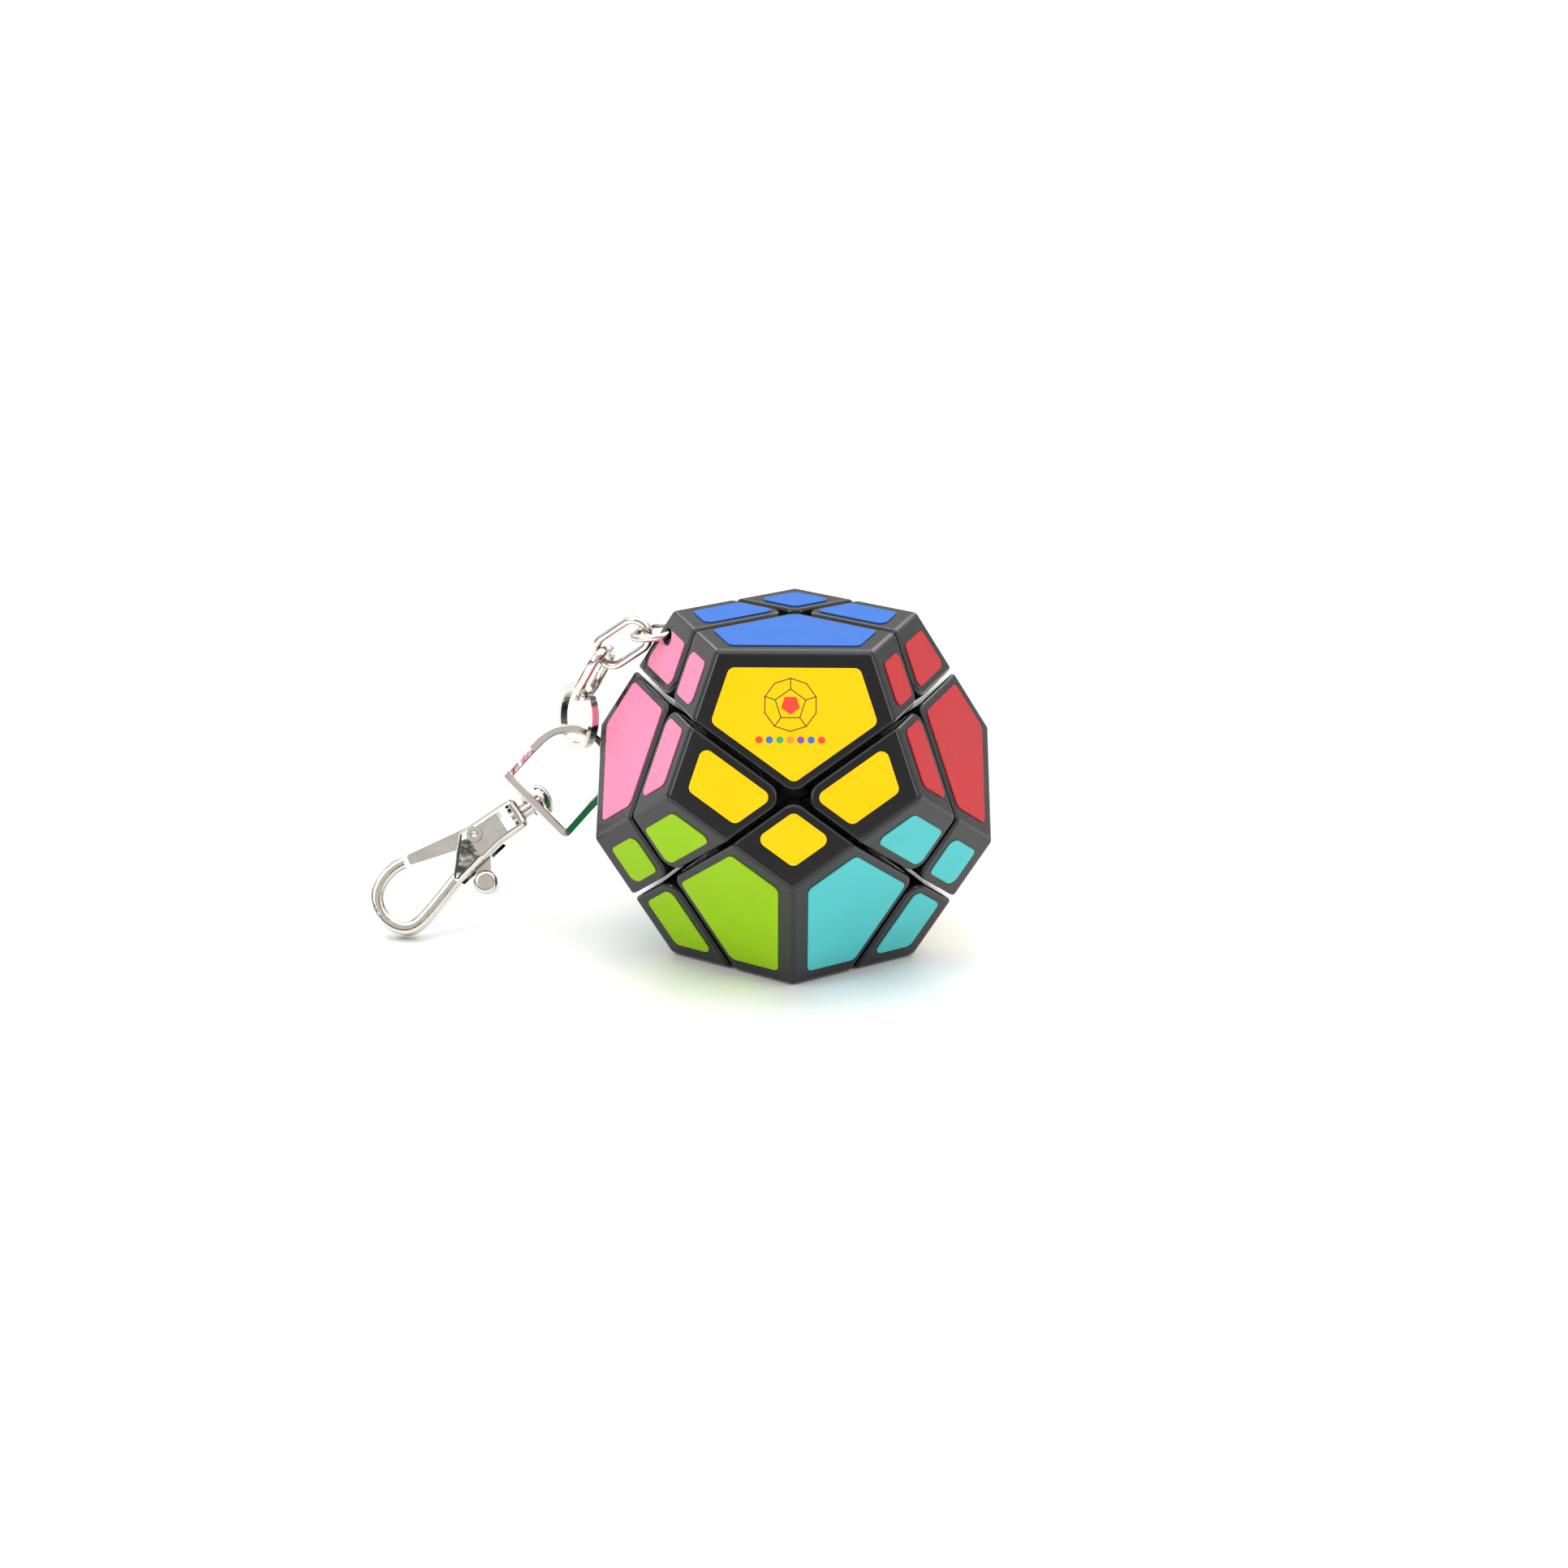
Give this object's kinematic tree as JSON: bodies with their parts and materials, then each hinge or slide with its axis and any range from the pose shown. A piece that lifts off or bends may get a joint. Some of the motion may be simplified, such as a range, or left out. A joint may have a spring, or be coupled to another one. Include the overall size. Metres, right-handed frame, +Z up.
{
  "type": "twisty puzzle",
  "caption": "Black dodecahedron twisty puzzle with coloured face stickers, on a short chain with a split ring, a D-ring and a swivel trigger-snap clasp.",
  "frame": {"origin": "centre of the face that the puzzle stands on", "axes": "+Z up, +X to the puzzle's right-hand side, +Y to its back; the chain leaves on the -X side"},
  "size_m": [0.0746, 0.0492, 0.0403],
  "materials": {
    "black_plastic": "glossy black moulded plastic",
    "inner_plastic": "black moulded plastic, hidden feet",
    "core_plastic": "natural nylon",
    "fastener_steel": "zinc-plated steel",
    "nickel": "polished nickel plating",
    "sticker_blue": "blue vinyl film",
    "sticker_yellow": "yellow vinyl film",
    "sticker_pink": "pink vinyl film",
    "sticker_red": "red vinyl film",
    "sticker_green": "light green vinyl film",
    "sticker_cyan": "light cyan vinyl film",
    "sticker_white": "white vinyl film",
    "sticker_orange": "orange vinyl film",
    "sticker_purple": "purple vinyl film",
    "sticker_grey": "grey vinyl film",
    "sticker_dark_green": "dark green vinyl film",
    "sticker_cream": "cream vinyl film"
  },
  "bodies": {
    "fixed_half": {"corner_bottom_left_cap": "black_plastic", "corner_bottom_left_foot": "inner_plastic", "corner_back_right_cap": "black_plastic", "corner_back_right_foot": "inner_plastic", "corner_top_left_cap": "black_plastic", "corner_top_left_foot": "inner_plastic", "corner_back_left_cap": "black_plastic", "corner_back_left_foot": "inner_plastic", "centre_bottom_cap": "black_plastic", "centre_bottom_foot": "inner_plastic", "centre_back_cap": "black_plastic", "centre_back_foot": "inner_plastic", "centre_left_cap": "black_plastic", "centre_left_foot": "inner_plastic", "stickers_blue_fixed": "sticker_blue", "stickers_cream_fixed": "sticker_cream", "stickers_dark_green_fixed": "sticker_dark_green", "stickers_green_fixed": "sticker_green", "stickers_grey_fixed": "sticker_grey", "stickers_orange_fixed": "sticker_orange", "stickers_pink_fixed": "sticker_pink", "stickers_purple_fixed": "sticker_purple", "stickers_white_fixed": "sticker_white", "core": "core_plastic", "screws": "fastener_steel", "washers": "fastener_steel", "springs": "fastener_steel"},
    "turning_half": {"corner_front_right_cap": "black_plastic", "corner_front_right_foot": "inner_plastic", "corner_top_right_cap": "black_plastic", "corner_top_right_foot": "inner_plastic", "corner_front_left_cap": "black_plastic", "corner_front_left_foot": "inner_plastic", "corner_bottom_right_cap": "black_plastic", "corner_bottom_right_foot": "inner_plastic", "centre_top_cap": "black_plastic", "centre_top_foot": "inner_plastic", "centre_front_cap": "black_plastic", "centre_front_foot": "inner_plastic", "centre_right_cap": "black_plastic", "centre_right_foot": "inner_plastic", "stickers_blue_turning": "sticker_blue", "stickers_cream_turning": "sticker_cream", "stickers_cyan_turning": "sticker_cyan", "stickers_green_turning": "sticker_green", "stickers_grey_turning": "sticker_grey", "stickers_orange_turning": "sticker_orange", "stickers_pink_turning": "sticker_pink", "stickers_red_turning": "sticker_red", "stickers_yellow_turning": "sticker_yellow"},
    "link_first": {"link_first": "nickel"},
    "link_second": {"link_second": "nickel"},
    "link_third": {"link_third": "nickel"},
    "split_ring": {"split_ring": "nickel"},
    "d_ring": {"d_ring": "nickel"},
    "clasp": {"clasp_body": "nickel", "swivel_stud": "nickel", "lever_rivet": "nickel", "gate_spring": "fastener_steel"},
    "gate_lever": {"gate_lever": "nickel"}
  },
  "joints": [
    {"name": "half_turn", "type": "hinge", "parent": "fixed_half", "child": "turning_half", "pos_m": [0, 0, 0.02016], "axis": [0.5774, -0.7947, 0.1876], "continuous": true},
    {"name": "first_link_swing", "type": "hinge", "parent": "fixed_half", "child": "link_first", "pos_m": [-0.01435, 0.00466, 0.03772], "axis": [0.309, 0.9511, 0], "range_deg": [0, 60]},
    {"name": "second_link_swing", "type": "hinge", "parent": "link_first", "child": "link_second", "pos_m": [-0.01868, 0.00607, 0.03705], "axis": [0.309, 0.9511, 0], "range_deg": [0, 40]},
    {"name": "third_link_swing", "type": "hinge", "parent": "link_second", "child": "link_third", "pos_m": [-0.02347, 0.00763, 0.03336], "axis": [-0.5628, 0.1829, 0.8061], "range_deg": [-10, 18]},
    {"name": "split_ring_swing", "type": "hinge", "parent": "link_third", "child": "split_ring", "pos_m": [-0.02581, 0.00875, 0.028], "axis": [0.5211, 0.8522, -0.047], "range_deg": [0, 30]},
    {"name": "d_ring_swing", "type": "hinge", "parent": "split_ring", "child": "d_ring", "pos_m": [-0.02638, 0.00814, 0.02199], "axis": [-0.5181, 0.8476, -0.1147], "range_deg": [0, 20]},
    {"name": "clasp_swivel", "type": "hinge", "parent": "d_ring", "child": "clasp", "pos_m": [-0.0328, 0.00453, 0.01476], "axis": [-0.8287, -0.1479, -0.5398], "continuous": true},
    {"name": "gate_opening", "type": "hinge", "parent": "clasp", "child": "gate_lever", "pos_m": [-0.03827, 0.00386, 0.01185], "axis": [-0.1133, -0.9002, 0.4206], "range_deg": [0, 24], "stiffness_Nm_per_rad": 0.02, "springref_deg": -20.05}
  ]
}
